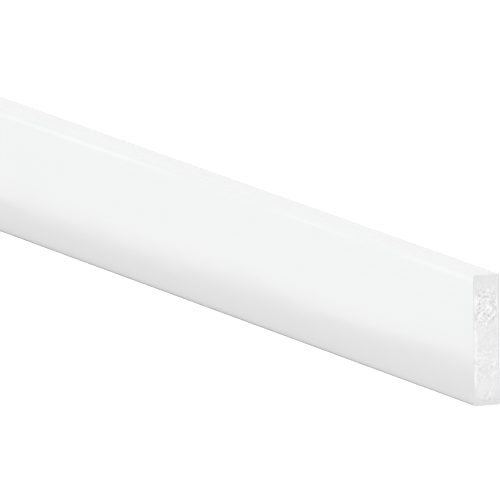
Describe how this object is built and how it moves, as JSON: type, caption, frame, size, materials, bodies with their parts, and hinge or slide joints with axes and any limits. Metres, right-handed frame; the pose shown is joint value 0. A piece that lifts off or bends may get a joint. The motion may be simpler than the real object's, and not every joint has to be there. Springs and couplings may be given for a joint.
{
  "type": "baseboard",
  "caption": "Straight flat length of white baseboard trim with a plain rectangular section, eased front edges and square sawn ends, fixed along the foot of a wall.",
  "frame": {"origin": "Middle of the back face, which lies on the floor", "axes": "+X along the length, +Y from the bottom edge to the top edge as fitted on a wall, +Z from the back to the show face. The board lies on its back."},
  "size_m": [2.4384, 0.0888, 0.0191],
  "materials": {
    "white_cellular_plastic": "satin white extruded skin, matte fine-celled foam on the sawn ends"
  },
  "bodies": {
    "root": {"baseboard": "white_cellular_plastic"}
  },
  "joints": []
}
